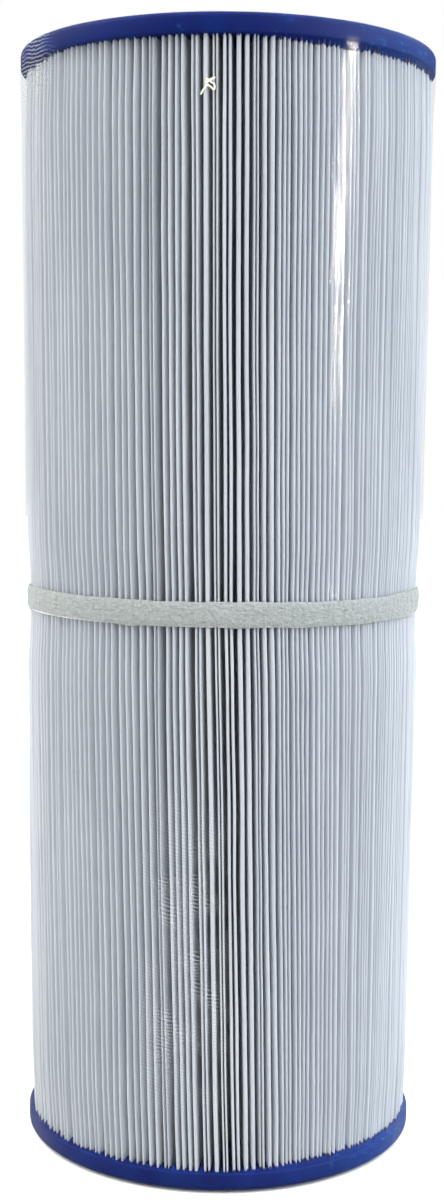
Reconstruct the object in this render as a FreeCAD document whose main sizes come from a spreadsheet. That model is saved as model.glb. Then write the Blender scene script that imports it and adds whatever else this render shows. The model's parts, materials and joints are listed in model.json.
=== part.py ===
"""Pleated filter cartridge for a pool or spa: two potted end caps, a pleated media pack on a
perforated core, a retention band round the pleats and a clear shrink film over the whole.

Millimetres. The cartridge stands on its bottom cap: the origin is the centre of that cap's
sealing land, +Z runs up the core, and -Y is the side with the side seam of the media.
Every driving size is a cell of the spreadsheet; each sub-part is one object of the document.
"""

import FreeCAD, Part
import math
import os
import re

import Sketcher  # noqa: F401  gives the document its sketch objects
from FreeCAD import Placement, Rotation, Vector

# alias, value in mm (or a count, or degrees), what it drives
DRIVING = [
    ("total_height", 338.1, "13 5/16 in over the two sealing lands"),
    ("cap_radius", 62.7, "4 15/16 in end caps"),
    ("cap_height", 6.4, "outer rim of a cap, face to media side"),
    ("port_radius", 27.0, "2 1/8 in port through each cap"),
    ("port_chamfer", 0.8, "lead-in of the port"),
    ("land_radius", 46.0, "outer edge of the flat sealing land"),
    ("face_step", 0.8, "how far the land stands proud of the outer face"),
    ("edge_radius", 1.6, "outer corner of a cap's face"),
    ("lip_radius", 0.6, "outer corner of a cap's media side"),
    ("pot_floor", 3.0, "cap material under the core and the media"),
    ("pleat_count", 212, "pleats round the pack"),
    ("media_radius", 61.2, "pleat tips"),
    ("media_inner", 31.0, "inner folds of the pleats"),
    ("media_sheet", 0.36, "thickness of the spunbonded sheet"),
    ("seam_azimuth", -4.75, "side seam, degrees from -Y towards +X"),
    ("seam_bead_depth", 9.0, "radial length of the bead that closes the seam"),
    ("core_inner", 27.7, "bore of the core"),
    ("core_outer", 30.4, "outside of the core"),
    ("core_spigot", 6.0, "overlap of the two core sections"),
    ("spigot_gap", 0.05, "running gap round the spigot"),
    ("window_columns", 16, "windows round the core"),
    ("window_rows", 12, "windows up one core section"),
    ("window_width", 7.4, "one window, round the core"),
    ("window_height", 8.8, "one window, along the core"),
    ("window_pitch", 12.4, "row to row"),
    ("window_start", 10.5, "section's foot to its first window"),
    ("band_height", 8.0, "width of the retention ribbon"),
    ("band_middle", 174.0, "height of the ribbon's middle"),
    ("band_sheet", 0.6, "thickness of the ribbon"),
    ("band_lap_sheet", 0.45, "thickness of the ribbon's overlapped end"),
    ("band_lap_angle", 18.0, "degrees that the ribbon's end laps"),
    ("adhesive_sheet", 0.45, "hot-melt between pleat tips and ribbon"),
    ("adhesive_inset", 0.6, "ribbon edge to adhesive edge"),
    ("film_sheet", 0.2, "clear shrink film"),
    ("film_gap", 0.05, "film to cap"),
    ("film_lip", 50.0, "radius of the hole that the film leaves in each end"),
    ("thread_radius", 0.22, "seam thread"),
    ("stitch_height", 319.0, "height of the locking stitch on the seam"),
    ("stitch_width", 2.4, "reach of the stitch across the two seam pleats"),
    ("stitch_rise", 3.8, "height of the stitch"),
    ("tail_length", 3.0, "loose end of the thread"),
]

VALUES = {alias: value for alias, value, _ in DRIVING}
SHEET = "Sheet"
OUT_FOLDER = "parts"

# length of one core section without its spigot: two of them, one spigot apart, fill the part
SECTION = "(total_height - 2 * pot_floor - core_spigot) / 2"


def make_sheet(doc):
    """The spreadsheet of driving dimensions: one aliased cell each, with a note beside it."""
    sheet = doc.addObject("Spreadsheet::Sheet", SHEET)
    for row, (alias, value, note) in enumerate(DRIVING, start=1):
        sheet.set(f"A{row}", alias)
        sheet.set(f"B{row}", str(value))
        sheet.setAlias(f"B{row}", alias)
        sheet.set(f"C{row}", note)
    doc.recompute()
    return sheet


def bound(text):
    """An expression in plain aliases, with each alias pointed at the sheet."""
    return re.sub(r"[a-z_]+", lambda word: f"{SHEET}.{word.group()}", text)


def value_of(text):
    """What an expression in aliases comes to, for a sketch's first guess."""
    plain = re.sub(r"[a-z_]+", lambda word: str(VALUES[word.group()]), text)
    return FreeCAD.Units.Quantity(plain).Value


# ---------------------------------------------------------------- sketches


def add_body(doc, label):
    body = doc.addObject("PartDesign::Body", label)
    body.Label = label
    return body


def add_sketch(body, name, plane):
    """A sketch on one of the body's own origin planes."""
    sketch = body.newObject("Sketcher::SketchObject", name)
    origin = [f for f in body.Origin.OriginFeatures if f.Role == plane][0]
    sketch.AttachmentSupport = [(origin, "")]
    sketch.MapMode = "FlatFace"
    return sketch


def pin_point(sketch, geometry, end, across, up):
    """Fixes a sketch point at (across, up), two expressions in aliases."""
    for kind, text in (("DistanceX", across), ("DistanceY", up)):
        value = value_of(text)
        if abs(value) < 1e-9:
            axis = -2 if kind == "DistanceX" else -1
            sketch.addConstraint(Sketcher.Constraint("PointOnObject", geometry, end, axis))
            continue
        made = Sketcher.Constraint(kind, -1, 1, geometry, end, value)
        index = sketch.addConstraint(made)
        sketch.setExpression(f"Constraints[{index}]", bound(text))


def add_arc(sketch, start, stop, radius_text, turn):
    """An arc of this radius from start to stop: left-handed for turn +1, right-handed for -1.

    Returns its geometry and the numbers of its first and last ends.
    """
    radius = value_of(radius_text)
    chord = stop - start
    side = Vector(-chord.y, chord.x, 0).normalize() * turn
    rise = math.sqrt(max(radius**2 - (chord.Length / 2) ** 2, 0.0))
    centre = start + chord * 0.5 + side * rise
    first, last = (start, stop) if turn > 0 else (stop, start)
    from_angle = math.atan2(first.y - centre.y, first.x - centre.x)
    to_angle = math.atan2(last.y - centre.y, last.x - centre.x)
    circle = Part.Circle(centre, Vector(0, 0, 1), radius)
    geometry = sketch.addGeometry(Part.ArcOfCircle(circle, from_angle, to_angle), False)
    constraint = sketch.addConstraint(Sketcher.Constraint("Radius", geometry, radius))
    sketch.setExpression(f"Constraints[{constraint}]", bound(radius_text))
    return (geometry, 1, 2) if turn > 0 else (geometry, 2, 1)


def draw_outline(sketch, points, arcs=()):
    """A closed outline through points, each a pair of expressions.

    arcs maps the index of a segment's first point to (radius, turn), for a segment that is
    an arc in place of a straight line.
    """
    arcs = dict(arcs)
    places = [Vector(value_of(across), value_of(up), 0) for across, up in points]
    edges = []
    for index, start in enumerate(places):
        stop = places[(index + 1) % len(places)]
        if index in arcs:
            edges.append(add_arc(sketch, start, stop, *arcs[index]))
        else:
            line = sketch.addGeometry(Part.LineSegment(start, stop), False)
            edges.append((line, 1, 2))
    for index, (geometry, first, _) in enumerate(edges):
        before, _, last = edges[index - 1]
        sketch.addConstraint(Sketcher.Constraint("Coincident", before, last, geometry, first))
        pin_point(sketch, geometry, first, *points[index])


def revolve(body, name, points, arcs=()):
    """Revolves a closed outline of (radius, height) expressions round the body's Z axis."""
    sketch = add_sketch(body, f"{name}_outline", "XZ_Plane")
    draw_outline(sketch, points, arcs)
    turned = body.newObject("PartDesign::Revolution", name)
    turned.Profile = sketch
    turned.ReferenceAxis = (sketch, ["V_Axis"])
    turned.Angle = 360.0
    return turned


def add_feature(doc, label, shape, placement=None):
    """A shape made by Part's own functions, as a named object of the document."""
    made = doc.addObject("Part::Feature", label)
    made.Label = label
    made.Shape = shape
    made.Placement = placement or Placement()
    return made


# ---------------------------------------------------------------- end caps


def cap_blank(doc, label, height_of, groove):
    """One moulded end cap, gripping the core's end, before the media is cast into it.

    height_of turns a height above the cap's own sealing land into a height in the part, so
    the same outline serves the bottom cap and, turned over, the top cap. groove is the inner
    and the outer radius of the core's end.
    """
    body = add_body(doc, label)
    outline = [
        ("port_radius + port_chamfer", "0"),
        ("land_radius", "0"),
        ("land_radius + face_step", "face_step"),
        ("cap_radius - edge_radius", "face_step"),
        ("cap_radius", "face_step + edge_radius"),
        ("cap_radius", "cap_height - lip_radius"),
        ("cap_radius - lip_radius", "cap_height"),
        (groove[1], "cap_height"),
        (groove[1], "pot_floor"),
        (groove[0], "pot_floor"),
        (groove[0], "cap_height"),
        ("port_radius", "cap_height"),
        ("port_radius", "port_chamfer"),
    ]
    turn = 1 if height_of("0") == "0" else -1
    arcs = {3: ("edge_radius", turn), 5: ("lip_radius", turn)}
    points = [(across, height_of(up)) for across, up in outline]
    revolve(body, f"{label}_turned", points, arcs)
    return body


def cast_in(doc, label, blank, media):
    """The finished cap: the blank less the print of every pleat that its compound grips."""
    return add_feature(doc, label, blank.Shape.cut(media.Shape))


# ---------------------------------------------------------------- media


def polar(radius, angle, aside=0.0):
    """A point at this radius and angle, moved aside along the tangent."""
    c, s = math.cos(angle), math.sin(angle)
    return Vector(radius * c - aside * s, radius * s + aside * c, 0)


def seam_angle(sheet):
    """Polar angle of the valley at the side seam."""
    return math.radians(sheet.seam_azimuth - 90.0)


def pleat_wires(sheet):
    """The outer and inner skins of the pleated sheet, as two closed wires at height zero.

    The flanks are radial, half a pitch apart, with half the sheet on each side of them. Each
    tip and each inner fold is an arc through its outermost or innermost point.
    """
    count = int(sheet.pleat_count)
    pitch = 2 * math.pi / count
    quarter = pitch / 4
    half = sheet.media_sheet / 2
    tip, fold = sheet.media_radius, sheet.media_inner
    tip_centre = tip - (tip * math.sin(quarter) + half)
    fold_centre = fold + fold * math.sin(quarter) + half
    first = seam_angle(sheet) + pitch / 2
    outer, inner = [], []
    for pleat in range(count):
        middle = first + pleat * pitch
        left, right = middle - quarter, middle + quarter
        after, valley = middle + pitch - quarter, middle + pitch / 2
        a, b = polar(tip_centre, left, -half), polar(tip_centre, right, half)
        c, d = polar(fold + 2 * half, right, half), polar(fold + 2 * half, after, -half)
        following = polar(tip_centre, left + pitch, -half)
        outer += [
            Part.Arc(a, polar(tip, middle), b).toShape(),
            Part.makeLine(b, c),
            Part.makeLine(c, d),
            Part.makeLine(d, following),
        ]
        a, b = polar(tip_centre, left, half), polar(tip_centre, right, -half)
        c, d = polar(fold_centre, right, -half), polar(fold_centre, after, half)
        following = polar(tip_centre, left + pitch, half)
        inner += [
            Part.Arc(a, polar(tip - 2 * half, middle), b).toShape(),
            Part.makeLine(b, c),
            Part.Arc(c, polar(fold, valley), d).toShape(),
            Part.makeLine(d, following),
        ]
    return Part.Wire(outer), Part.Wire(inner)


def raised(height, turn=0.0):
    """A placement this far up the axis, turned by so many degrees round it."""
    return Placement(Vector(0, 0, height), Rotation(Vector(0, 0, 1), turn))


def pleated_media(doc, sheet):
    """The sheet, folded round the core and closed into a ring, cast into both caps."""
    outer, inner = pleat_wires(sheet)
    face = Part.makeFace([outer, inner], "Part::FaceMakerBullseye")
    length = sheet.total_height - 2 * sheet.pot_floor
    pack = face.extrude(Vector(0, 0, length))
    return add_feature(doc, "pleated_media", pack, raised(sheet.pot_floor))


def seam_bead(doc, sheet):
    """The bead that glues the sheet's two ends together, inside the pleat beside the seam."""
    pitch = 2 * math.pi / sheet.pleat_count
    quarter = pitch / 4
    half = sheet.media_sheet / 2
    middle = seam_angle(sheet) + pitch / 2
    far = sheet.media_radius - sheet.media_radius * math.sin(quarter) - half
    near = far - sheet.seam_bead_depth
    corners = [
        polar(near, middle - quarter, half),
        polar(far, middle - quarter, half),
        polar(far, middle + quarter, -half),
        polar(near, middle + quarter, -half),
    ]
    face = Part.Face(Part.makePolygon(corners + corners[:1]))
    low = sheet.cap_height
    bead = face.extrude(Vector(0, 0, sheet.total_height - 2 * low))
    return add_feature(doc, "seam_bead", bead, raised(low))


# ---------------------------------------------------------------- seam thread


def strand(points, radius):
    """A length of thread with round ends, straight from each point to the next."""
    rods = []
    for start, stop in zip(points, points[1:]):
        along = stop - start
        rods.append(Part.makeCylinder(radius, along.Length, start, along))
    knots = [Part.makeSphere(radius, point) for point in points]
    return rods[0].multiFuse(rods[1:] + knots)


def seam_thread(doc, sheet):
    """The locking stitch across the two pleats at the seam, and the thread's loose end.

    The strands lie on the pleat tips, one over another, so each stays its own solid.
    """
    radius = sheet.thread_radius
    side, rise = sheet.stitch_width / 2, sheet.stitch_rise / 2

    def at(across, up, layer):
        """A point across the seam and up from the stitch, this many strands off the tips."""
        return Vector(across, -(sheet.media_radius + radius * (1.2 + 2.1 * layer)), up)

    falling = strand([at(-side, rise, 0), at(side, -rise, 0)], radius)
    loose_end = at(-side - 0.6 * sheet.tail_length, -rise - 0.3 * sheet.tail_length, 1)
    rising = strand([loose_end, at(-side, -rise, 1), at(side, rise, 1)], radius)
    bridging = strand([at(-side, 0.1 * rise, 2), at(side, 0.5 * rise, 2)], radius)
    group = Part.makeCompound([falling, rising, bridging])
    where = raised(sheet.stitch_height, sheet.seam_azimuth)
    return add_feature(doc, "seam_thread", group, where)


# ---------------------------------------------------------------- core


def core_section(doc, label, foot):
    """One moulded length of core: a socket at its foot, a spigot at its head, rows of windows.

    foot is the height of its lower end, as an expression. Two of these make the core, the
    lower one's spigot in the upper one's socket. Each pocket goes through both walls of the
    tube, so half as many pockets make all the columns.
    """
    body = add_body(doc, label)
    head = f"{foot} + {SECTION}"
    outline = [
        ("(core_inner + core_outer) / 2 + spigot_gap", foot),
        ("core_outer", foot),
        ("core_outer", head),
        ("(core_inner + core_outer) / 2", head),
        ("(core_inner + core_outer) / 2", f"{head} + core_spigot"),
        ("core_inner", f"{head} + core_spigot"),
        ("core_inner", f"{foot} + core_spigot"),
        ("(core_inner + core_outer) / 2 + spigot_gap", f"{foot} + core_spigot"),
    ]
    revolve(body, f"{label}_tube", outline)

    column = add_sketch(body, f"{label}_windows", "YZ_Plane")
    for row in range(int(VALUES["window_rows"])):
        low = f"{foot} + window_start + {row} * window_pitch"
        high = f"{low} + window_height"
        corners = [
            ("-window_width / 2", low),
            ("window_width / 2", low),
            ("window_width / 2", high),
            ("-window_width / 2", high),
        ]
        draw_outline(column, corners)
    pocket = body.newObject("PartDesign::Pocket", f"{label}_pocket")
    pocket.Profile = column
    pocket.Type = "ThroughAll"
    pocket.SideType = "Symmetric"
    around = body.newObject("PartDesign::PolarPattern", f"{label}_columns")
    around.Originals = [pocket]
    around.Axis = (column, ["V_Axis"])
    around.setExpression("Angle", bound("180 - 360 / window_columns"))
    around.setExpression("Occurrences", bound("window_columns / 2"))
    body.Tip = around
    return body


# ---------------------------------------------------------------- band and film


def band_adhesive(doc):
    """The hot-melt ring that holds the pleat tips to the ribbon."""
    body = add_body(doc, "band_adhesive")
    low = "band_middle - band_height / 2 + adhesive_inset"
    high = "band_middle + band_height / 2 - adhesive_inset"
    outline = [
        ("media_radius", low),
        ("media_radius + adhesive_sheet", low),
        ("media_radius + adhesive_sheet", high),
        ("media_radius", high),
    ]
    revolve(body, "band_adhesive_ring", outline)
    return body


def ring_solid(doc, name, inner, outer, angle=None):
    """A ribbon ring, or an arc of one, as the difference of two bound cylinders."""
    low = "band_middle - band_height / 2"
    cylinders = []
    for part, radius in (("outer", outer), ("inner", inner)):
        cylinder = doc.addObject("Part::Cylinder", f"{name}_{part}")
        cylinder.setExpression("Radius", bound(radius))
        cylinder.setExpression("Height", bound("band_height"))
        cylinder.setExpression("Placement.Base.z", bound(low))
        if angle:
            cylinder.setExpression("Angle", bound(angle))
        cylinders.append(cylinder)
    ring = doc.addObject("Part::Cut", name)
    ring.Base, ring.Tool = cylinders
    return ring


def retention_band(doc):
    """The ribbon round the pleats, with its overlapped end on the far side from the seam."""
    back = "media_radius + adhesive_sheet"
    face = f"{back} + band_sheet"
    hoop = ring_solid(doc, "band_hoop", back, face)
    lap = ring_solid(doc, "band_lap", face, f"{face} + band_lap_sheet", "band_lap_angle")
    lap.Placement = Placement(Vector(0, 0, 0), Rotation(Vector(0, 0, 1), 90.0))
    band = doc.addObject("Part::Fuse", "retention_band")
    band.Label = "retention_band"
    band.Base, band.Tool = hoop, lap
    return band


def shrink_film(doc):
    """The clear film: a sleeve shrunk over both caps, turned in over their outer faces."""
    body = add_body(doc, "shrink_film")
    near, far = "film_gap", "film_gap + film_sheet"
    round_ends = "cap_radius - edge_radius"
    low_turn = "face_step + edge_radius"
    high_turn = f"total_height - ({low_turn})"

    def skin(offset):
        """One face of the film, from the lip at the bottom to the lip at the top."""
        low = f"face_step - ({offset})"
        high = f"total_height - ({low})"
        side = f"cap_radius + {offset}"
        return [
            ("film_lip", low),
            (round_ends, low),
            (side, low_turn),
            (side, high_turn),
            (round_ends, high),
            ("film_lip", high),
        ]

    outline = skin(far) + skin(near)[::-1]
    arcs = {
        1: (f"edge_radius + {far}", 1),
        3: (f"edge_radius + {far}", 1),
        7: (f"edge_radius + {near}", -1),
        9: (f"edge_radius + {near}", -1),
    }
    revolve(body, "shrink_film_sleeve", outline, arcs)
    return body


# ---------------------------------------------------------------- assembly


def check(doc, sub_parts):
    """Stops if any object of the document failed, or a sub-part isn't sound."""
    failed = [o.Name for o in doc.Objects if {"Invalid", "Error"} & set(o.State)]
    if failed:
        raise SystemExit(f"these objects failed: {failed}")
    for part in sub_parts:
        shape = part.Shape
        if shape.isNull() or not shape.isValid() or shape.Volume <= 0:
            raise SystemExit(f"{part.Label} has no sound shape")


def main():
    doc = FreeCAD.newDocument("filter_cartridge")
    sheet = make_sheet(doc)
    media = pleated_media(doc, sheet)
    lower = core_section(doc, "core_lower", "pot_floor")
    upper = core_section(doc, "core_upper", f"(pot_floor + {SECTION})")
    socket = ("(core_inner + core_outer) / 2 + spigot_gap", "core_outer")
    spigot = ("core_inner", "(core_inner + core_outer) / 2")
    bottom_blank = cap_blank(doc, "bottom_cap_blank", lambda up: up, socket)
    top_blank = cap_blank(doc, "top_cap_blank", lambda up: f"total_height - ({up})", spigot)
    doc.recompute()
    sub_parts = [
        cast_in(doc, "bottom_end_cap", bottom_blank, media),
        cast_in(doc, "top_end_cap", top_blank, media),
        media,
        seam_bead(doc, sheet),
        seam_thread(doc, sheet),
        lower,
        upper,
        band_adhesive(doc),
        retention_band(doc),
        shrink_film(doc),
    ]
    doc.recompute()
    check(doc, sub_parts)
    os.makedirs(OUT_FOLDER, exist_ok=True)
    for part in sub_parts:
        part.Shape.exportStep(os.path.join(OUT_FOLDER, f"{part.Label}.step"))
        shape = part.Shape
        print(f"{part.Label}: {len(shape.Solids)} solid(s), {shape.Volume / 1000:.2f} cm3")


main()
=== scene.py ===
"""Looks of the pleated filter cartridge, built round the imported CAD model.

Metres, in the model's own frame: +Z up the axis, -Y the front. Angles round the axis are
azimuths: zero at -Y, growing towards +X.
"""

import json
import math

import bpy
import numpy as np
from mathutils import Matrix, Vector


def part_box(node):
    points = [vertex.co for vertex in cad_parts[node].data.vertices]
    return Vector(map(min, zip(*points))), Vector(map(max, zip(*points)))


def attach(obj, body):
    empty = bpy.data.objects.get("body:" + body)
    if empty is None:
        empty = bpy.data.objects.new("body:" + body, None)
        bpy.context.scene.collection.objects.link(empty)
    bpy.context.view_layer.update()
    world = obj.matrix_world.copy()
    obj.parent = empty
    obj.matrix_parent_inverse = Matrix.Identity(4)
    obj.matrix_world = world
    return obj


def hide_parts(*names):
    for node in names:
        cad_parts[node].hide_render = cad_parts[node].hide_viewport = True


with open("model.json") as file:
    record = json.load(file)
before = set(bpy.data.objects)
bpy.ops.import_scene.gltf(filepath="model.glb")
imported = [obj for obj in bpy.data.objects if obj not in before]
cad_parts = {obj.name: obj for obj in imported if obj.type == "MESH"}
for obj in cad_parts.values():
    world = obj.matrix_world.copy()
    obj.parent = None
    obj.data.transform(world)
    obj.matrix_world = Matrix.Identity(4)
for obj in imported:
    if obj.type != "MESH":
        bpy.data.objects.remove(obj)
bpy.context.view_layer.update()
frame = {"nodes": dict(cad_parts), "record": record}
BODY = "root"
MM = 0.001

# ---------------------------------------------------------------- sizes read off the frame


def top_of(node):
    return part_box(node)[1][2]


def foot_of(node):
    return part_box(node)[0][2]


def radius_of(node):
    lo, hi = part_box(node)
    return (hi[0] - lo[0]) / 2


HEIGHT = top_of("top_end_cap")
CAP_RADIUS = radius_of("top_end_cap")
CAP_HEIGHT = top_of("bottom_end_cap")
TIP_RADIUS = radius_of("pleated_media")
CORE_RADIUS = radius_of("core_lower")
BAND_LOW = foot_of("retention_band")
BAND_HIGH = top_of("retention_band")
BAND_MIDDLE = (BAND_LOW + BAND_HIGH) / 2
FILM_RADIUS = radius_of("shrink_film")
MOUNTS = {mount["name"]: mount for mount in frame["record"]["mounts"]}
PORT_RADIUS = MOUNTS["top_port"]["dims"]["r_mm"] * MM
LAND_RADIUS = 46 * MM  # the raised sealing land ends here
FACE_STEP = foot_of("shrink_film") + 0.25 * MM  # from the land to the rest of a cap's face
FILM_LIP_RADIUS = 50 * MM  # the film's turned-in edge on both faces

SEAM_AZIMUTH = math.radians(-4.75)  # the valley that the stitch crosses
STITCH_HEIGHT = (foot_of("seam_thread") + top_of("seam_thread")) / 2
STITCH_REACH = 2.2 * MM  # from tip to tip over that valley
FOLDS_AHEAD = math.radians(2.6)  # the folds at the core are turned this far past the tips
SOAK_RIGHT, SOAK_LEFT = 1.5 * MM, 1.4 * MM  # compound soaked up the pleats, at +X and at -X

PLEATS = 212
CROWDING = 0.28  # how much closer than even the pleats stand at +X, and further apart at -X
TIP_THICKNESS = 0.95 * MM  # no two tips are closer than this
SAG = 0.42 * MM  # the film between ribbon and caps lies this far inside its CAD radius
ROWS = 57  # heights at which each pleat is placed
TIP_STEPS = 7  # points over a pleat's rounded tip

# ---------------------------------------------------------------- small tools


def smooth_step(x, start, stop):
    """0 before start, 1 after stop, smooth between."""
    t = np.clip((np.asarray(x, float) - start) / (stop - start), 0, 1)
    return t * t * (3 - 2 * t)


def blurred(values, sigma, axis, wrap):
    """values smoothed along an axis by a bell of that many samples."""
    reach = max(1, int(3 * sigma))
    offsets = np.arange(-reach, reach + 1)
    bell = np.exp(-0.5 * (offsets / sigma) ** 2)
    bell /= bell.sum()
    pad = [(0, 0)] * values.ndim
    pad[axis] = (reach, reach)
    padded = np.pad(values, pad, mode="wrap" if wrap else "reflect")
    out = np.zeros_like(values)
    size = values.shape[axis]
    for weight, start in zip(bell, range(2 * reach + 1)):
        out += weight * np.take(padded, np.arange(start, start + size), axis=axis)
    return out


def field(seed, around, up, shape):
    """Smooth noise of unit spread over (round the axis, up the axis)."""
    noise = np.random.default_rng(seed).standard_normal(shape)
    if around > 0:
        noise = blurred(noise, around, 0, True)
    if up > 0:
        noise = blurred(noise, up, 1, False)
    return noise / noise.std()


def at(radius, azimuth, height):
    """Points in the model's frame, stacked on a last axis."""
    radius, azimuth, height = np.broadcast_arrays(radius, azimuth, height)
    return np.stack([radius * np.sin(azimuth), -radius * np.cos(azimuth), height], axis=-1)


def grid_mesh(name, points, wrap_around, flip=False):
    """A mesh of quads over a grid of points, (columns round the axis, rows up it, 3)."""
    columns, rows = points.shape[:2]
    mesh = bpy.data.meshes.new(name)
    last = columns if wrap_around else columns - 1
    i, j = np.meshgrid(np.arange(last), np.arange(rows - 1), indexing="ij")
    k = (i + 1) % columns
    quads = np.stack([i * rows + j, k * rows + j, k * rows + j + 1, i * rows + j + 1], axis=-1)
    quads = quads.reshape(-1, 4)
    if flip:
        quads = quads[:, ::-1]
    mesh.from_pydata(points.reshape(-1, 3).tolist(), [], quads.tolist())
    mesh.polygons.foreach_set("use_smooth", [True] * len(mesh.polygons))
    mesh.update()
    return mesh


def add_piece(name, mesh, material, slot, *nodes):
    """A piece of the object: rides on the cartridge and stands for the named CAD nodes."""
    piece = bpy.data.objects.new(name, mesh)
    bpy.context.scene.collection.objects.link(piece)
    piece.data.materials.append(material)
    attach(piece, BODY)
    if nodes:
        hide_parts(*nodes)
    return piece


# ---------------------------------------------------------------- pleats


def pleat_layout():
    """Where the pleats are: azimuth of every tip and of every fold at the core, each
    (PLEATS, ROWS), the rows' heights, and the number of the pleat just before the valley
    that the seam's stitch crosses.

    The pleats stand close together towards +X and further apart towards -X, unevenly, and
    on one half of the pack they lean a few degrees on their way down.
    """
    heights = np.linspace(CAP_HEIGHT - 1.5 * MM, HEIGHT - CAP_HEIGHT + 1.5 * MM, ROWS)
    fine = np.linspace(-math.pi, math.pi, 7201)
    density = 1 / (1 - CROWDING * np.sin(fine))
    count = np.concatenate([[0], np.cumsum((density[1:] + density[:-1]) / 2)])
    even = np.interp((np.arange(PLEATS) + 0.5) / PLEATS * count[-1], count, fine)
    down = 1 - heights / HEIGHT
    lean = math.radians(6.0) * (0.35 * down + 0.65 * down**2)
    side = (1 + np.cos(even + math.radians(70))) / 2
    folds = even[:, None] + smooth_step(side, 0.0, 0.62)[:, None] * lean

    uneven = 0.30 * MM * np.random.default_rng(11).standard_normal((PLEATS, 1))
    uneven = uneven + 0.35 * MM * field(12, 2.5, 0, (PLEATS, 1))
    uneven = uneven + 0.09 * MM * field(13, 2.5, 4.0, folds.shape)
    tips = folds + (uneven + 0.045 * MM * field(14, 0.5, 1.2, folds.shape)) / TIP_RADIUS

    row = int(np.argmin(np.abs(heights - STITCH_HEIGHT)))
    middles = (tips[1:, row] + tips[:-1, row]) / 2
    seam = int(np.argmin(np.abs(middles - SEAM_AZIMUTH)))
    tips = tips + SEAM_AZIMUTH - middles[seam]
    reach = (tips[seam + 1] - tips[seam] - STITCH_REACH / TIP_RADIUS) / 2
    tips[seam] += reach
    tips[seam + 1] -= reach
    for pleat in range(1, PLEATS):
        tips[pleat] = np.maximum(tips[pleat], tips[pleat - 1] + TIP_THICKNESS / TIP_RADIUS)
    return tips, folds + FOLDS_AHEAD, heights, seam


def tip_radius(heights, shape):
    """Radius of every pleat's tip: drawn in under the ribbon and at the caps."""
    spring = smooth_step(np.abs(heights - BAND_MIDDLE), 4 * MM, 22 * MM)
    ends = smooth_step(np.minimum(heights, HEIGHT - heights), CAP_HEIGHT, 30 * MM)
    out = TIP_RADIUS + 0.65 * MM * spring * ends
    return out[None, :] + 0.14 * MM * field(15, 0.6, 4, shape) * spring[None, :]


def pleated_media(azimuth, folds, heights, tips):
    """The folded sheet: for each pleat a rounded tip, then the fold at the core after it."""
    after = np.concatenate([azimuth[1:], azimuth[:1] + 2 * math.pi])
    before = np.concatenate([azimuth[-1:] - 2 * math.pi, azimuth[:-1]])
    room = np.minimum(after - azimuth, azimuth - before) * TIP_RADIUS
    width = room * (0.28 - 0.12 * smooth_step(-np.sin(azimuth), 0.05, 0.40))
    depth = 0.65 * MM
    columns = []
    for step in range(TIP_STEPS):
        phi = math.pi * (step / (TIP_STEPS - 1) - 0.5)
        radius = tips - depth * (1 - math.cos(phi))
        columns.append(at(radius, azimuth + width * math.sin(phi) / TIP_RADIUS, heights[None, :]))
    valleys = (folds + np.concatenate([folds[1:], folds[:1] + 2 * math.pi])) / 2
    columns.append(at(CORE_RADIUS + 0.8 * MM, valleys, heights[None, :]))
    points = np.stack(columns, axis=1).reshape(-1, ROWS, 3)
    return grid_mesh("pleated_sheet", points, True)


# ---------------------------------------------------------------- caps


def soaked(azimuth, left):
    """How far up the pleats the cast compound has soaked, in metres."""
    across = np.sin(azimuth)
    right = smooth_step(across, 0.02, 0.55) * SOAK_RIGHT
    return right + smooth_step(-across, 0.70, 0.95) * left


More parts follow.
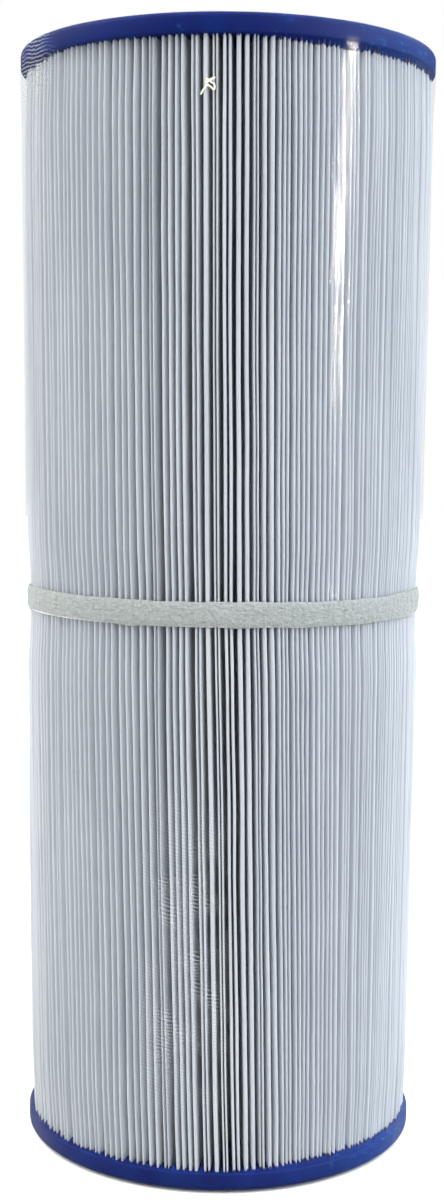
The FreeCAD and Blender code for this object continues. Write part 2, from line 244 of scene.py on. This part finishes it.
def cap_mesh(name, azimuth_row, wick, left, upside_down):
    """A cast cap: sealing face, rounded rim, and compound that climbs between the pleats.

    Each point of its outline is a radius, a height over the face and a share of the climb.
    """
    per_pleat = 6
    after = np.append(azimuth_row[1:], azimuth_row[0] + 2 * math.pi)
    share = np.arange(per_pleat) / per_pleat
    turns = (azimuth_row[:, None] + (after - azimuth_row)[:, None] * share).reshape(-1)
    gap = (after - azimuth_row) * TIP_RADIUS
    peak = 1 - np.abs(2 * share - 1)
    climb = np.clip(wick * (gap - 1.75 * MM), 0.1 * MM, 2.2 * MM)
    climb = (climb[:, None] * np.clip(peak * 1.6 - 0.6, 0, 1)).reshape(-1)
    climb = climb + soaked(turns, left)

    edge, lip = 1.6 * MM, 0.6 * MM
    rim = CAP_RADIUS
    outline = [(PORT_RADIUS, CAP_HEIGHT - 1.2 * MM, 0), (PORT_RADIUS, 0.8 * MM, 0)]
    outline += [(PORT_RADIUS + 0.25 * MM, 0.25 * MM, 0), (PORT_RADIUS + 0.9 * MM, 0, 0)]
    outline += [(LAND_RADIUS - 0.3 * MM, 0, 0), (LAND_RADIUS + 0.3 * MM, 0.2 * MM, 0)]
    outline += [(LAND_RADIUS + 0.8 * MM, FACE_STEP - 0.1 * MM, 0)]
    outline += [(LAND_RADIUS + 1.4 * MM, FACE_STEP, 0), (rim - edge - 2 * MM, FACE_STEP, 0)]
    for turn in np.linspace(0, math.pi / 2, 6):
        height = FACE_STEP + edge * (1 - math.cos(turn))
        outline.append((rim - edge * (1 - math.sin(turn)), height, 0))
    for turn in np.linspace(0, math.pi / 2, 4):
        height = CAP_HEIGHT - lip * (1 - math.sin(turn))
        outline.append((rim - lip * (1 - math.cos(turn)), height, 0))
    outline += [(TIP_RADIUS + 0.3 * MM, CAP_HEIGHT, 0.0), (TIP_RADIUS - 0.2 * MM, CAP_HEIGHT, 0.8)]
    outline += [(TIP_RADIUS - 0.9 * MM, CAP_HEIGHT, 1.0), (TIP_RADIUS - 3 * MM, CAP_HEIGHT, 0.9)]
    outline += [(CORE_RADIUS + 0.5 * MM, CAP_HEIGHT, 0), (PORT_RADIUS + 0.6 * MM, CAP_HEIGHT, 0)]
    outline += [(PORT_RADIUS + 0.1 * MM, CAP_HEIGHT - 0.4 * MM, 0)]
    radius, height, share_of_climb = (np.array(column) for column in zip(*outline))
    z = height[None, :] + climb[:, None] * share_of_climb[None, :]
    if upside_down:
        z = HEIGHT - z
    points = at(radius[None, :], turns[:, None], z)
    closed = np.concatenate([points, points[:, :1]], axis=1)
    return grid_mesh(name, closed, True, flip=not upside_down)


# ---------------------------------------------------------------- ribbon, film, thread


def band_mesh(azimuth, heights):
    """The ribbon, drawn over the pleat tips, which print through it a little."""
    turns, rows = 1060, 11
    around = np.linspace(-math.pi, math.pi, turns, endpoint=False)
    row = int(np.argmin(np.abs(heights - BAND_MIDDLE)))
    tips = np.sort((azimuth[:, row] + math.pi) % (2 * math.pi) - math.pi)
    nearest = np.abs(around[:, None] - tips[None, :]).min(axis=1) * TIP_RADIUS
    print_through = 0.13 * MM * np.clip(nearest / (0.9 * MM), 0, 1) ** 2
    wander = 0.22 * MM * field(21, 28, 0, (turns, 1))[:, 0]
    ragged_low = 0.10 * MM * field(22, 5, 0, (turns, 1))[:, 0]
    ragged_high = 0.10 * MM * field(23, 5, 0, (turns, 1))[:, 0]
    low, high = BAND_LOW + 0.35 * MM + ragged_low, BAND_HIGH - 0.35 * MM + ragged_high
    across = np.linspace(0, 1, rows)
    z = (low + wander)[:, None] * (1 - across) + (high + wander)[:, None] * across
    crown = 1 - (2 * across - 1) ** 4
    outer = TIP_RADIUS + 0.45 * MM + 0.5 * MM * crown
    bumps = 0.08 * MM * field(24, 1.4, 0.8, (turns, rows))
    radius = outer[None, :] - print_through[:, None] + bumps * crown
    front = at(radius, around[:, None], z)
    back = at(np.full(rows, TIP_RADIUS + 0.05 * MM)[None, ::-1], around[:, None], z[:, ::-1])
    points = np.concatenate([front, back, front[:, :1]], axis=1)
    return grid_mesh("ribbon", points, True)


def film_mesh(azimuth, heights):
    """The shrink film: taut over both rims and the pleat tips, turned in over the faces.

    Between two tips it spans straight across, so it has three columns to a pleat.
    """
    per_pleat, side_rows, edge = 3, 118, 1.7 * MM
    after = np.concatenate([azimuth[1:], azimuth[:1] + 2 * math.pi])
    share = np.arange(per_pleat) / per_pleat
    columns = azimuth[:, None, :] + (after - azimuth)[:, None, :] * share[None, :, None]
    columns = columns.reshape(-1, ROWS)
    turns = len(columns)

    on_face = FACE_STEP - 0.15 * MM
    lips = np.linspace(FILM_LIP_RADIUS, FILM_RADIUS - edge, 7)[:-1]
    start = [(lip, on_face) for lip in lips]
    for step in range(5):
        turn = math.pi / 2 * step / 5
        height = on_face + edge * (1 - math.cos(turn))
        start.append((FILM_RADIUS - edge * (1 - math.sin(turn)), height))
    lip_radius, lip_height = (np.array(values) for values in zip(*start))
    side = np.linspace(FACE_STEP + edge, HEIGHT - FACE_STEP - edge, side_rows)
    height = np.concatenate([lip_height, side, HEIGHT - lip_height[::-1]])
    radius = np.concatenate([lip_radius, np.full(side_rows, FILM_RADIUS), lip_radius[::-1]])
    shape = (turns, len(height))
    around = np.stack([np.interp(height, heights, column) for column in columns])

    from_end = np.minimum(height, HEIGHT - height)
    free = smooth_step(from_end, CAP_HEIGHT - 1.0 * MM, CAP_HEIGHT + 16 * MM)
    at_band = 1 - smooth_step(np.abs(height - BAND_MIDDLE), 4.5 * MM, 9 * MM)
    loose = 0.10 * MM * field(31, 26, 9, shape) + 0.020 * MM * field(32, 0.7, 0.8, shape)
    spans = np.tile(np.array([0.0, 1.0, 1.0]), PLEATS)[:, None] * 0.022 * MM
    pulled = SAG + spans - loose
    pulled = pulled * free[None, :] * (1 - at_band)[None, :]
    gathers = 0.10 * MM * field(33, 3, 6, shape) * (radius < FILM_RADIUS - 0.5 * MM)[None, :]
    points = at(radius[None, :] - pulled, around, height[None, :] + gathers)
    return grid_mesh("film", points, True)


# ---------------------------------------------------------------- seam


def smooth_line(points, per_span):
    """A Catmull-Rom line through the points."""
    points = np.asarray(points, float)
    padded = np.concatenate([[2 * points[0] - points[1]], points, [2 * points[-1] - points[-2]]])
    out = []
    for p0, p1, p2, p3 in zip(padded, padded[1:], padded[2:], padded[3:]):
        for t in np.arange(per_span) / per_span:
            bend = (2 * p0 - 5 * p1 + 4 * p2 - p3) * t**2 + (3 * p1 - p0 - 3 * p2 + p3) * t**3
            out.append(0.5 * (2 * p1 + (p2 - p0) * t + bend))
    out.append(points[-1])
    return np.array(out)


def tube(line, radius, sides=8):
    """Rings of points round a line, (sides, stations, 3)."""
    along = np.gradient(line, axis=0)
    along /= np.linalg.norm(along, axis=1, keepdims=True)
    across = np.cross(along, (0.0, 1.0, 0.0))
    across /= np.linalg.norm(across, axis=1, keepdims=True)
    out = np.cross(across, along)
    turn = np.arange(sides)[:, None, None] * 2 * math.pi / sides
    return line + radius * (np.cos(turn) * across + np.sin(turn) * out), across, out


def yarn(points, radius):
    """Two plies twisted round a smooth line; the vertices and faces of both."""
    line = smooth_line(points, 14)
    _, across, out = tube(line, radius)
    steps = np.linalg.norm(np.diff(line, axis=0), axis=1)
    travelled = np.concatenate([[0], np.cumsum(steps)])[:, None]
    vertices, faces = [], []
    for ply in range(2):
        phase = 2 * math.pi * travelled / (1.3 * MM) + math.pi * ply
        centre = line + 0.5 * radius * (np.cos(phase) * across + np.sin(phase) * out)
        rings = tube(centre, 0.62 * radius)[0]
        sides, stations = rings.shape[:2]
        first = len(vertices)
        vertices += rings.reshape(-1, 3).tolist()
        for i in range(sides):
            k = (i + 1) % sides
            for j in range(stations - 1):
                here, beside = first + i * stations + j, first + k * stations + j
                faces.append([here, beside, beside + 1, here + 1])
        for end in (0, stations - 1):
            faces.append([first + i * stations + end for i in range(sides)])
    return vertices, faces


def stitch_mesh(tip):
    """The locking stitch: one thread crossed over two tips, then a bar, and its loose end."""
    crossed = [(-2.3, -2.7, 0.1), (-1.6, -1.6, 0.2), (-0.9, -0.9, 0.35), (-0.7, -0.3, 0.4)]
    crossed += [(0.1, -0.6, 0.4), (0.8, -1.2, 0.4), (1.3, -1.6, 0.35), (1.5, -0.9, 0.35)]
    crossed += [(1.3, -0.1, 0.4), (0.6, 0.3, 0.45), (0.0, 0.8, 0.45), (-0.9, 1.4, 0.3)]
    bar = [(-1.0, 0.2, 0.3), (-0.1, 0.6, 0.75), (0.7, 1.1, 0.75), (1.5, 1.5, 0.3)]
    vertices, faces = [], []
    for path, radius in ((crossed, 0.27 * MM), (bar, 0.36 * MM)):
        places = []
        for across, up, out in path:
            turn = SEAM_AZIMUTH + across * MM / TIP_RADIUS
            places.append(at(tip + out * MM, turn, STITCH_HEIGHT + up * MM))
        more, its_faces = yarn(places, radius)
        faces += [[len(vertices) + corner for corner in face] for face in its_faces]
        vertices += more
    mesh = bpy.data.meshes.new("stitch")
    mesh.from_pydata(vertices, [], faces)
    mesh.polygons.foreach_set("use_smooth", [True] * len(mesh.polygons))
    mesh.update()
    return mesh


def bead_mesh(azimuth, folds, heights, pleat):
    """The bead that closes the media's seam, inside one pleat and following it."""
    inner, outer = CORE_RADIUS + 0.8 * MM, TIP_RADIUS - 0.9 * MM
    columns = []
    corners = ((0.70, -0.10 * MM), (1.0, -0.22 * MM), (1.0, 0.22 * MM), (0.70, 0.10 * MM))
    for outward, aside in corners:
        at_core = at(inner, folds[pleat] + aside / inner, heights)
        at_tip = at(outer, azimuth[pleat] + aside / outer, heights)
        columns.append(at_core + (at_tip - at_core) * outward)
    return grid_mesh("seam_bead", np.stack(columns), True)


# ---------------------------------------------------------------- materials


class Nodes:
    """The node tree of a new material or world, with short ways to add and join nodes."""

    def __init__(self, name, owners=bpy.data.materials):
        self.owner = owners.new(name)
        self.owner.use_nodes = True
        self.tree = self.owner.node_tree
        self.tree.nodes.clear()

    def add(self, kind, inputs=None, **settings):
        node = self.tree.nodes.new(kind)
        for key, value in settings.items():
            setattr(node, key, value)
        for key, value in (inputs or {}).items():
            self.put(node.inputs[key], value)
        return node

    def put(self, socket, value):
        """Joins an output to a socket, or sets the socket's own value."""
        if isinstance(value, bpy.types.NodeSocket):
            self.tree.links.new(value, socket)
        else:
            socket.default_value = value

    def math(self, operation, a, b=0.5):
        return self.add("ShaderNodeMath", {0: a, 1: b}, operation=operation).outputs[0]

    def place(self, scale=(1, 1, 1)):
        """Object coordinates, scaled."""
        here = self.add("ShaderNodeTexCoord").outputs["Object"]
        return self.add("ShaderNodeMapping", {"Vector": here, "Scale": scale}).outputs[0]

    def along(self):
        """Object coordinates as separate outputs X, Y and Z."""
        return self.add("ShaderNodeSeparateXYZ", {0: self.place()}).outputs

    def noise(self, scale, detail=3.0, roughness=0.55, stretch=(1, 1, 1)):
        inputs = {"Vector": self.place(stretch), "Scale": scale}
        inputs |= {"Detail": detail, "Roughness": roughness}
        return self.add("ShaderNodeTexNoise", inputs).outputs["Fac"]

    def map(self, value, start, stop, low, high):
        """low where value is at start or beyond, high at stop, smooth between."""
        inputs = {"Value": value, "From Min": start, "From Max": stop}
        inputs |= {"To Min": low, "To Max": high}
        return self.add("ShaderNodeMapRange", inputs, interpolation_type="SMOOTHSTEP").outputs[0]

    def between(self, value, start, full, full_to, stop):
        """1 from full to full_to, 0 outside start and stop, smooth between."""
        falling = self.map(value, stop, full_to, 0.0, 1.0)
        return self.math("MULTIPLY", falling, self.map(value, start, full, 0.0, 1.0))

    def mix(self, fac, a, b, blend="MIX"):
        """Color a, with b mixed over it."""
        node = self.add("ShaderNodeMix", data_type="RGBA", blend_type=blend)
        colors = [socket for socket in node.inputs if socket.type == "RGBA"]
        self.put(node.inputs["Factor"], fac)
        self.put(colors[0], a)
        self.put(colors[1], b)
        return next(socket for socket in node.outputs if socket.type == "RGBA")

    def ramp(self, fac, stops):
        node = self.add("ShaderNodeValToRGB", {"Fac": fac})
        elements = node.color_ramp.elements
        while len(elements) < len(stops):
            elements.new(0.5)
        for element, (position, color) in zip(elements, stops):
            element.position = position
            element.color = (*color, 1)
        return node.outputs["Color"]

    def bump(self, height, distance, strength=1.0):
        inputs = {"Height": height, "Distance": distance, "Strength": strength}
        return self.add("ShaderNodeBump", inputs).outputs["Normal"]

    def finish(self, surface):
        out = self.add("ShaderNodeOutputMaterial")
        self.tree.links.new(surface, out.inputs["Surface"])
        return self.owner


def media_material():
    """Spunbonded polyester: matte white with a blue cast, fine random fibres, faint cloudiness.

    It has painted shade down between the pleats and a little on each crest, and is stained where
    the caps' compound has soaked in.
    """
    n = Nodes("spunbonded_polyester")
    cloud = n.noise(55, 4, 0.6, (1, 1, 0.25))
    color = n.ramp(cloud, [(0.30, (0.72, 0.75, 0.79)), (0.70, (0.80, 0.825, 0.855))])
    out = n.add("ShaderNodeVectorMath", {0: n.place((1, 1, 0))}, operation="LENGTH")
    out = out.outputs["Value"]
    # painted shade: the sheet is darker deeper down between the pleats, and a little darker on
    # each crest
    depth = n.map(out, TIP_RADIUS - 5 * MM, TIP_RADIUS - 1.0 * MM, 0.64, 1.0)
    painted_crest_shade = n.map(out, TIP_RADIUS - 0.7 * MM, TIP_RADIUS - 0.1 * MM, 1.0, 0.92)
    depth = n.math("MULTIPLY", depth, painted_crest_shade)
    shade = n.add("ShaderNodeCombineColor", {0: depth, 1: depth, 2: depth}).outputs[0]
    color = n.mix(1.0, color, shade, "MULTIPLY")

    here = n.along()
    streaks = n.map(n.noise(1100, 3, 0.6, (1, 1, 0.12)), 0.3, 0.7, -0.4 * MM, 0.7 * MM)
    right = n.map(here["X"], 0.02 * TIP_RADIUS, 0.55 * TIP_RADIUS, 0.0, SOAK_RIGHT)
    left = n.map(here["X"], -0.70 * TIP_RADIUS, -0.95 * TIP_RADIUS, 0.0, SOAK_LEFT)
    level = n.math("ADD", right, streaks)
    above = n.math("SUBTRACT", n.math("SUBTRACT", here["Z"], CAP_HEIGHT), level)
    below = n.math("SUBTRACT", HEIGHT - CAP_HEIGHT, here["Z"])
    below = n.math("SUBTRACT", n.math("SUBTRACT", below, level), left)
    nearest = n.math("MINIMUM", above, below)
    stained = n.map(nearest, 0.35 * MM, -0.25 * MM, 0.0, 0.93)
    color = n.mix(stained, color, (0.002, 0.010, 0.13, 1))

    fibres = n.noise(5200, 3, 0.7, (1, 1, 0.35))
    rough = n.ramp(fibres, [(0.3, (0.55, 0.55, 0.55)), (0.7, (0.75, 0.75, 0.75))])
    normal = n.bump(fibres, 0.00006, 0.5)
    inputs = {"Base Color": color, "Roughness": rough, "Normal": normal, "Specular IOR Level": 0.3}
    cloth = n.add("ShaderNodeBsdfPrincipled", inputs)
    through = n.add("ShaderNodeBsdfTranslucent", {"Color": color, "Normal": normal})
    both = n.add("ShaderNodeMixShader", {0: 0.32, 1: cloth.outputs[0], 2: through.outputs[0]})
    return n.finish(both.outputs[0])


def cap_material():
    """Cast urethane: deep blue, mottled, with pale scuffs and fine pits; painted light makes it
    lighter toward +X and gives it more pale scuffs there.
    """
    n = Nodes("cast_urethane_blue")
    mottle = n.noise(90, 5, 0.65)
    base = n.ramp(mottle, [(0.3, (0.0005, 0.005, 0.085)), (0.7, (0.001, 0.016, 0.14))])
    # painted light: the blue is mixed lighter toward +X, where the light falls more strongly
    painted_light_at_right = n.map(n.along()["X"], 0.30 * TIP_RADIUS, 1.0 * TIP_RADIUS, 0.0, 0.85)
    base = n.mix(painted_light_at_right, base, (0.001, 0.032, 0.19, 1))
    scuffs = n.noise(340, 6, 0.75, (1, 1, 2.5))
    # painted light: the pale scuffs also spread further toward +X
    scuffs = n.math("ADD", scuffs, n.math("MULTIPLY", painted_light_at_right, 0.06))
    worn = n.ramp(scuffs, [(0.60, (0, 0, 0)), (0.72, (1, 1, 1))])
    pale = n.mix(worn, base, (0.006, 0.10, 0.30, 1))
    pits = n.noise(1500, 3, 0.6)
    normal = n.bump(pits, 0.00008, 0.35)
    inputs = {"Base Color": pale, "Roughness": 0.6, "Normal": normal, "Specular IOR Level": 0.1}
    return n.finish(n.add("ShaderNodeBsdfPrincipled", inputs).outputs[0])


def ribbon_material():
    """Milky ribbon of crinkled fibres, wetted by adhesive."""
    n = Nodes("milky_ribbon")
    fibres = n.noise(1100, 5, 0.7, (1, 1, 1.5))
    crinkles = n.noise(420, 4, 0.6, (1, 1, 2.2))
    color = n.ramp(fibres, [(0.33, (0.34, 0.365, 0.345)), (0.67, (0.53, 0.56, 0.54))])
    height = n.math("ADD", n.math("MULTIPLY", fibres, 0.6), crinkles)
    normal = n.bump(height, 0.0016, 1.0)
    inputs = {"Base Color": color, "Roughness": 0.30, "Normal": normal, "Specular IOR Level": 0.9}
    return n.finish(n.add("ShaderNodeBsdfPrincipled", inputs).outputs[0])


def film_material():
    """Clear film: what is behind shows through, with a thin gloss on top.

    Shrinking has left it rippled and creased along fine level lines: mostly low down on
    the -X half of the front, and where it gathers over the top rim at -X. The creases have
    real bumps and a painted highlight, a white diffuse mixed in along them. It is taut, with
    hardly a ripple, over both rims.
    """
    n = Nodes("clear_shrink_film")
    here = n.along()
    low_down = n.between(here["Z"], 0.015, 0.05, 0.085, 0.135)
    leftward = n.between(here["X"], -0.028, -0.017, -0.002, 0.006)
    at_rim = n.map(here["Z"], 0.316, 0.328, 0.0, 1.0)
    gathered = n.math("MULTIPLY", n.map(here["X"], -0.046, -0.056, 0.0, 1.0), at_rim)
    where = n.math("MAXIMUM", n.math("MULTIPLY", low_down, leftward), gathered)
    patches = n.map(n.noise(75, 3), 0.34, 0.58, 0.0, 1.0)
    tilted = n.math("ADD", here["Z"], n.math("MULTIPLY", here["X"], 0.22))
    phase = n.math("MULTIPLY", tilted, 6000.0)  # in radians: creases about 1 mm apart
    phase = n.math("ADD", phase, n.math("MULTIPLY", n.noise(150, 2), 14.0))
    # the crease mask drives both the creases' real bump and a painted highlight along them
    crease_bumps_and_highlight = n.map(n.math("SINE", phase), -0.3, 1.0, 0.0, 1.0)
    crease_bumps_and_highlight = n.math("MULTIPLY", crease_bumps_and_highlight, n.math("MULTIPLY", where, patches))

    fine = n.math("MULTIPLY", n.noise(1500, 2, 0.5, (0.45, 0.45, 1)), 0.045)
    coarse = n.math("MULTIPLY", n.noise(640, 2, 0.5, (0.35, 0.35, 1)), 0.05)
    ripples = n.math("ADD", coarse, fine)
    top_slack = n.map(here["Z"], 0.325, 0.331, 1.0, 0.1)
    slack = n.math("MULTIPLY", top_slack, n.map(here["Z"], 0.007, 0.013, 0.1, 1.0))
    ripples = n.math("MULTIPLY", ripples, slack)
    height = n.math("ADD", ripples, n.math("MULTIPLY", crease_bumps_and_highlight, 0.07))
    normal = n.bump(height, 0.0016, 0.8)

    inputs = {"Color": (1, 1, 1, 1), "Roughness": 0.06, "Normal": normal}
    gloss = n.add("ShaderNodeBsdfGlossy", inputs)
    clear = n.add("ShaderNodeBsdfTransparent", {"Color": (0.985, 0.99, 0.995, 1)})
    # painted highlight: a white diffuse mixed in along the creases stands for their reflections
    white = n.add("ShaderNodeBsdfDiffuse", {"Color": (0.85, 0.87, 0.88, 1)})
    share = n.math("MULTIPLY", crease_bumps_and_highlight, 0.21)
    body = n.add("ShaderNodeMixShader", {0: share, 1: clear.outputs[0], 2: white.outputs[0]})
    fresnel = n.add("ShaderNodeFresnel", {"IOR": 1.17, "Normal": normal})
    shine = n.math("MINIMUM", fresnel.outputs[0], 0.10)  # the edge-on film stays clear too
    mixed = n.add("ShaderNodeMixShader", {0: shine, 1: body.outputs[0], 2: gloss.outputs[0]})
    return n.finish(mixed.outputs[0])


def plastic_material(name, low, high, roughness):
    """Moulded plastic with a faint flow mottle and a fine texture."""
    n = Nodes(name)
    color = n.ramp(n.noise(90, 3), [(0.3, low), (0.7, high)])
    normal = n.bump(n.noise(1800, 2), 0.00005, 0.3)
    inputs = {"Base Color": color, "Roughness": roughness, "Normal": normal}
    return n.finish(n.add("ShaderNodeBsdfPrincipled", inputs).outputs[0])


# ---------------------------------------------------------------- the object


def dress(node, material):
    """Gives a CAD node that stays in view its material."""
    mesh = frame["nodes"][node].data
    mesh.materials.clear()
    mesh.materials.append(material)


azimuth, folds, heights, seam = pleat_layout()
tips = tip_radius(heights, azimuth.shape)
pleated = pleated_media(azimuth, folds, heights, tips)
media = add_piece("pleated_sheet", pleated, media_material(), "media_fabric", "pleated_media")

blue = cap_material()
bottom = cap_mesh("bottom_cap", azimuth[:, 0], 1.6, 0.0, False)
add_piece("bottom_cap", bottom, blue, "cap_urethane", "bottom_end_cap")
top = cap_mesh("top_cap", azimuth[:, -1], 0.0, SOAK_LEFT, True)
add_piece("top_cap", top, blue, "cap_urethane", "top_end_cap")

add_piece("ribbon", band_mesh(azimuth, heights), ribbon_material(), "ribbon", "retention_band")
wrap = film_mesh(azimuth, heights)
film = add_piece("film", wrap, film_material(), "clear_film", "shrink_film")

white = plastic_material("moulded_white", (0.72, 0.73, 0.74), (0.80, 0.81, 0.82), 0.45)
dress("core_lower", white)
dress("core_upper", white)
glue = plastic_material("hot_melt", (0.50, 0.51, 0.47), (0.60, 0.61, 0.57), 0.3)
dress("band_adhesive", glue)
add_piece("seam_glue", bead_mesh(azimuth, folds, heights, seam + 1), glue, "hot_melt", "seam_bead")
stitch_row = int(np.argmin(np.abs(heights - STITCH_HEIGHT)))
stitch = stitch_mesh(tips[seam : seam + 2, stitch_row].max())
thread = plastic_material("cream_thread", (0.95, 0.92, 0.66), (0.98, 0.97, 0.82), 0.6)
add_piece("stitch", stitch, thread, "thread", "seam_thread")

# ---------------------------------------------------------------- stage, lights, camera


def add_stage():
    """A white floor that throws little light back up, as if a grey skirt hid it."""
    half = 4.0
    mesh = bpy.data.meshes.new("floor")
    corners = [(-half, -half, 0), (half, -half, 0), (half, half, 0), (-half, half, 0)]
    mesh.from_pydata(corners, [], [(0, 1, 2, 3)])
    floor = bpy.data.objects.new("floor", mesh)
    bpy.context.scene.collection.objects.link(floor)
    n = Nodes("pale_floor")
    seen = n.add("ShaderNodeBsdfDiffuse", {"Color": (0.9, 0.9, 0.9, 1)})
    felt = n.add("ShaderNodeBsdfDiffuse", {"Color": (0.38, 0.38, 0.38, 1)})
    is_camera = n.add("ShaderNodeLightPath").outputs["Is Camera Ray"]
    both = n.add("ShaderNodeMixShader", {0: is_camera, 1: felt.outputs[0], 2: seen.outputs[0]})
    mesh.materials.append(n.finish(both.outputs[0]))


def add_window(name, place, size, power):
    """A warm rectangular light, (width, height), that only glossy surfaces pick up.

    It faces the middle of the cartridge.
    """
    data = bpy.data.lights.new(name, "AREA")
    data.shape = "RECTANGLE"
    data.size, data.size_y = size
    data.energy = power
    data.color = (1, 0.92, 0.82)
    light = bpy.data.objects.new(name, data)
    bpy.context.scene.collection.objects.link(light)
    light.visible_diffuse = False
    light.location = place
    direction = Vector((0, 0, HEIGHT / 2)) - light.location
    light.rotation_mode = "QUATERNION"
    light.rotation_quaternion = direction.to_track_quat("-Z", "Y")


def add_camera():
    data = bpy.data.cameras.new("camera")
    data.sensor_width = 36.0
    data.lens = 51.85
    data.shift_y = 0.0930
    camera = bpy.data.objects.new("camera", data)
    bpy.context.scene.collection.objects.link(camera)
    camera.location = (0, -0.5506, 0.2258)
    pitch, roll = 0.1610, 0.0098
    camera.rotation_mode = "XYZ"
    look = Matrix.Rotation(math.pi / 2 - pitch, 4, "X") @ Matrix.Rotation(roll, 4, "Z")
    camera.rotation_euler = look.to_euler()
    bpy.context.scene.camera = camera


def add_world():
    """A white tent lit from both sides, bluer at +X, dim in front, behind and low down.

    Glossy surfaces see it dimmer, and the camera itself sees plain white all round.
    """
    n = Nodes("studio", bpy.data.worlds)
    bpy.context.scene.world = n.owner
    generated = n.add("ShaderNodeTexCoord").outputs["Generated"]
    direction = n.add("ShaderNodeSeparateXYZ", {0: generated}).outputs
    level = n.math("SQRT", n.math("SUBTRACT", 1.0001, n.math("POWER", direction["Z"], 2.0)))
    across = n.math("DIVIDE", direction["X"], level)
    right = n.math("POWER", n.math("MAXIMUM", across, 0.0), 4.0)
    left = n.math("POWER", n.math("MAXIMUM", n.math("MULTIPLY", across, -1.0), 0.0), 4.0)
    sides = n.math("ADD", n.math("MULTIPLY", right, 3.5), n.math("MULTIPLY", left, 2.9))
    ahead = {0: generated, 1: (-0.20, -0.98, 0.0)}
    front = n.add("ShaderNodeVectorMath", ahead, operation="DOT_PRODUCT")
    front = n.math("POWER", n.math("MAXIMUM", front.outputs["Value"], 0.0), 2.0)
    behind = n.math("POWER", n.math("MAXIMUM", direction["Y"], 0.0), 2.0)
    dim = n.math("ADD", n.math("MULTIPLY", front, 1.45), n.math("MULTIPLY", behind, 1.3))
    light = n.math("ADD", sides, n.math("SUBTRACT", 2.35, dim))
    light = n.math("MULTIPLY", light, n.map(direction["Z"], 0.10, 0.42, 0.22, 1.0))
    path = n.add("ShaderNodeLightPath").outputs
    light = n.math("MULTIPLY", light, n.map(path["Is Glossy Ray"], 0.0, 1.0, 1.0, 0.3))
    warm, cool = (1.0, 1.0, 0.965, 1), (0.95, 1.0, 1.065, 1)
    tint = n.mix(n.map(across, -0.8, 0.8, 0.0, 1.0), warm, cool)
    ambient = n.add("ShaderNodeBackground", {"Color": tint, "Strength": light}).outputs[0]
    seen = n.add("ShaderNodeBackground", {"Color": (1, 1, 1, 1), "Strength": 1.0}).outputs[0]
    both = n.add("ShaderNodeMixShader", {0: path["Is Camera Ray"], 1: ambient, 2: seen})
    out = n.add("ShaderNodeOutputWorld")
    n.tree.links.new(both.outputs[0], out.inputs["Surface"])


add_stage()
add_world()
add_window("high_window", (0.967, -0.405, 0.506), (0.13, 0.034), 3.6)
add_window("low_window", (0.935, -0.482, 0.362), (0.022, 0.17), 7.0)
add_camera()
bpy.context.scene.view_settings.view_transform = "Standard"
